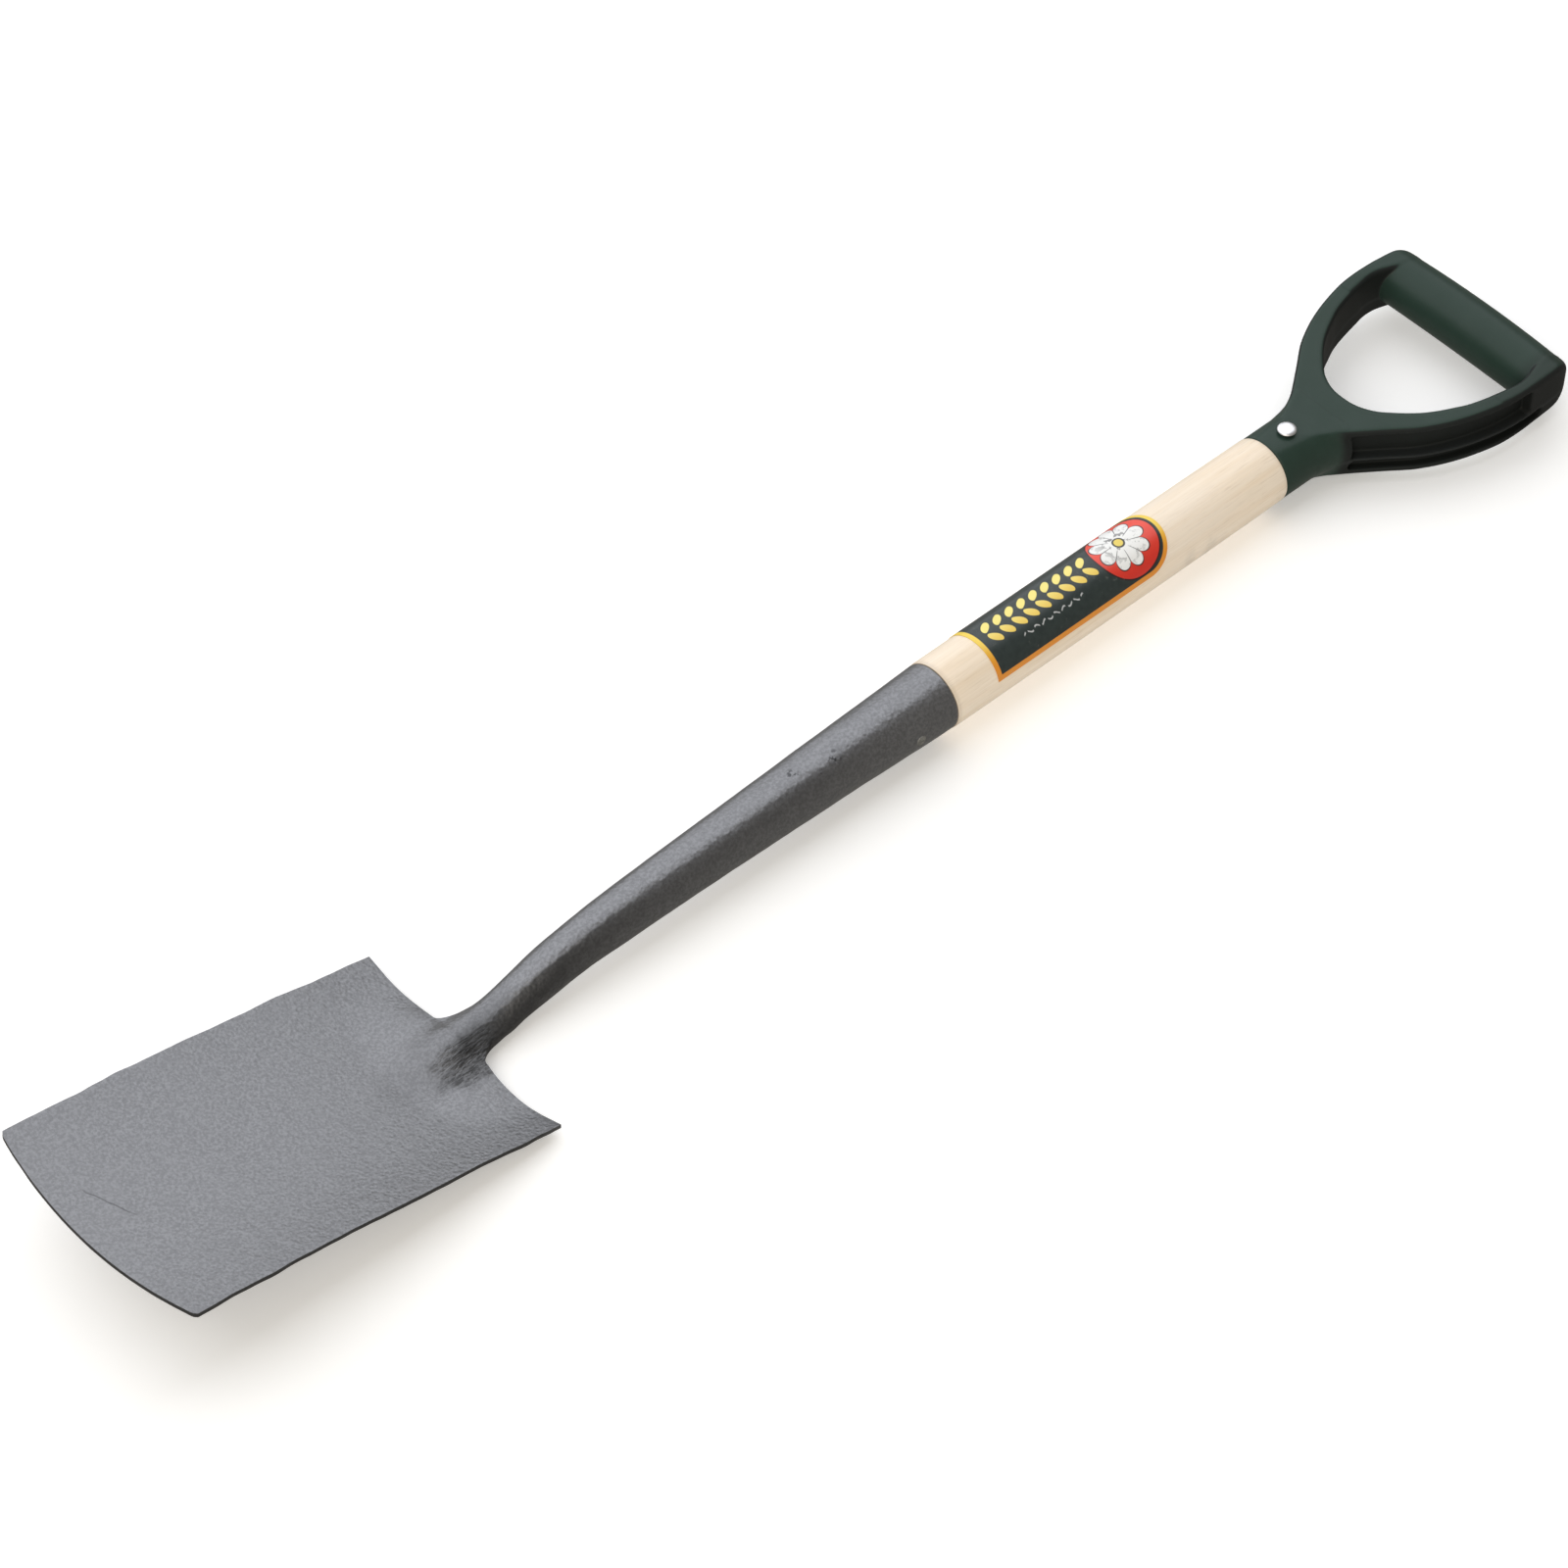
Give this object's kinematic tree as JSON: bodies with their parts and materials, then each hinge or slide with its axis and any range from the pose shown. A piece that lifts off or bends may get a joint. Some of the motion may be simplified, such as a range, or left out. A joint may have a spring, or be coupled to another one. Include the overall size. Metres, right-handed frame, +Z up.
{
  "type": "garden spade",
  "caption": "Border spade: forged steel blade and long tapered socket in grey paint, pale wooden shaft with a printed label, and a green plastic D-shaped grip.",
  "frame": {"origin": "centre of the bounding box, at its lowest point: the spade lies on its back with the hollow face of the blade up", "axes": "+X runs from the blade's cutting edge to the grip, +Y runs across the blade, +Z points up out of the blade's hollow face"},
  "size_m": [0.9532, 0.1412, 0.0578],
  "materials": {
    "grey_paint": "satin, finely pimpled",
    "ash_wood": "clear satin lacquer",
    "rivet_steel": "bright, lightly worn",
    "green_plastic": "soft gloss moulding",
    "label_print": "printed film, satin"
  },
  "bodies": {
    "root": {"head": "grey_paint", "shaft": "ash_wood", "socket_rivet": "rivet_steel", "handle": "green_plastic", "handle_rivet": "rivet_steel", "label": "label_print"}
  },
  "joints": []
}
